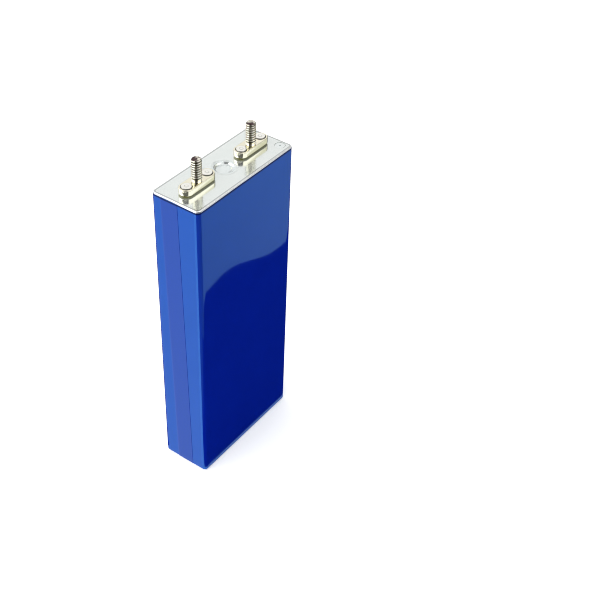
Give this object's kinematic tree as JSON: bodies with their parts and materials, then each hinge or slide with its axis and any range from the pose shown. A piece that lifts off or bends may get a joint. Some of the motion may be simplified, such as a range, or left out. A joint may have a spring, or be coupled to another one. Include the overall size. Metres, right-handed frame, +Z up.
{
  "type": "prismatic battery cell",
  "caption": "Flat rectangular rechargeable cell in a film-wrapped metal can, with threaded stud terminals, a vent and a filling port on its lid.",
  "frame": {"origin": "centre of the base that the cell stands on", "axes": "+X along the wide side, from the negative stud to the positive; +Y through the thickness, to the rear broad face; +Z up, along the studs"},
  "size_m": [0.0701, 0.027, 0.1806],
  "materials": {
    "can_aluminium": "bright deep-drawn aluminium",
    "lid_aluminium": "bright rolled aluminium, near mirror",
    "blue_film": "glossy blue polyester wrapping film",
    "pad_film": "glossy blue polyester sheet",
    "vent_aluminium": "stamped aluminium",
    "clear_film": "clear protective film",
    "nickel_plate": "bright nickel plating",
    "stud_steel": "nickel-plated steel thread",
    "rivet_metal": "bright formed rivet head",
    "gasket_plastic": "dark olive moulded plastic",
    "seal_rubber": "fluoro-rubber",
    "insulator_plastic": "natural moulded polypropylene",
    "inner_aluminium": "bare aluminium",
    "copper": "bare copper",
    "cathode_coating": "dark grey coating on aluminium foil",
    "anode_coating": "black graphite coating on copper foil",
    "separator_film": "white porous polyolefin film",
    "bag_film": "clear polyester bag",
    "tape": "green polyester tape"
  },
  "bodies": {
    "root": {"case_can": "can_aluminium", "lid_plate": "lid_aluminium", "film_wrap": "blue_film", "base_pad": "pad_film", "vent_disc": "vent_aluminium", "vent_cover_film": "clear_film", "vent_guard": "insulator_plastic", "fill_plug": "seal_rubber", "fill_cap": "vent_aluminium", "bottom_spacer": "insulator_plastic", "roll_bag": "bag_film", "roll_tapes": "tape", "negative_terminal_plate": "nickel_plate", "negative_outer_gasket": "gasket_plastic", "negative_stud": "stud_steel", "negative_rivets": "rivet_metal", "negative_rivet_seals": "seal_rubber", "negative_inner_insulator": "insulator_plastic", "negative_collector": "copper", "front_roll_negative_tabs": "copper", "rear_roll_negative_tabs": "copper", "positive_terminal_plate": "nickel_plate", "positive_outer_gasket": "gasket_plastic", "positive_stud": "stud_steel", "positive_rivets": "rivet_metal", "positive_rivet_seals": "seal_rubber", "positive_inner_insulator": "insulator_plastic", "positive_collector": "inner_aluminium", "front_roll_positive_tabs": "inner_aluminium", "rear_roll_positive_tabs": "inner_aluminium", "front_roll_cathode": "cathode_coating", "front_roll_inner_separator": "separator_film", "front_roll_anode": "anode_coating", "front_roll_outer_separator": "separator_film", "rear_roll_cathode": "cathode_coating", "rear_roll_inner_separator": "separator_film", "rear_roll_anode": "anode_coating", "rear_roll_outer_separator": "separator_film"}
  },
  "joints": []
}
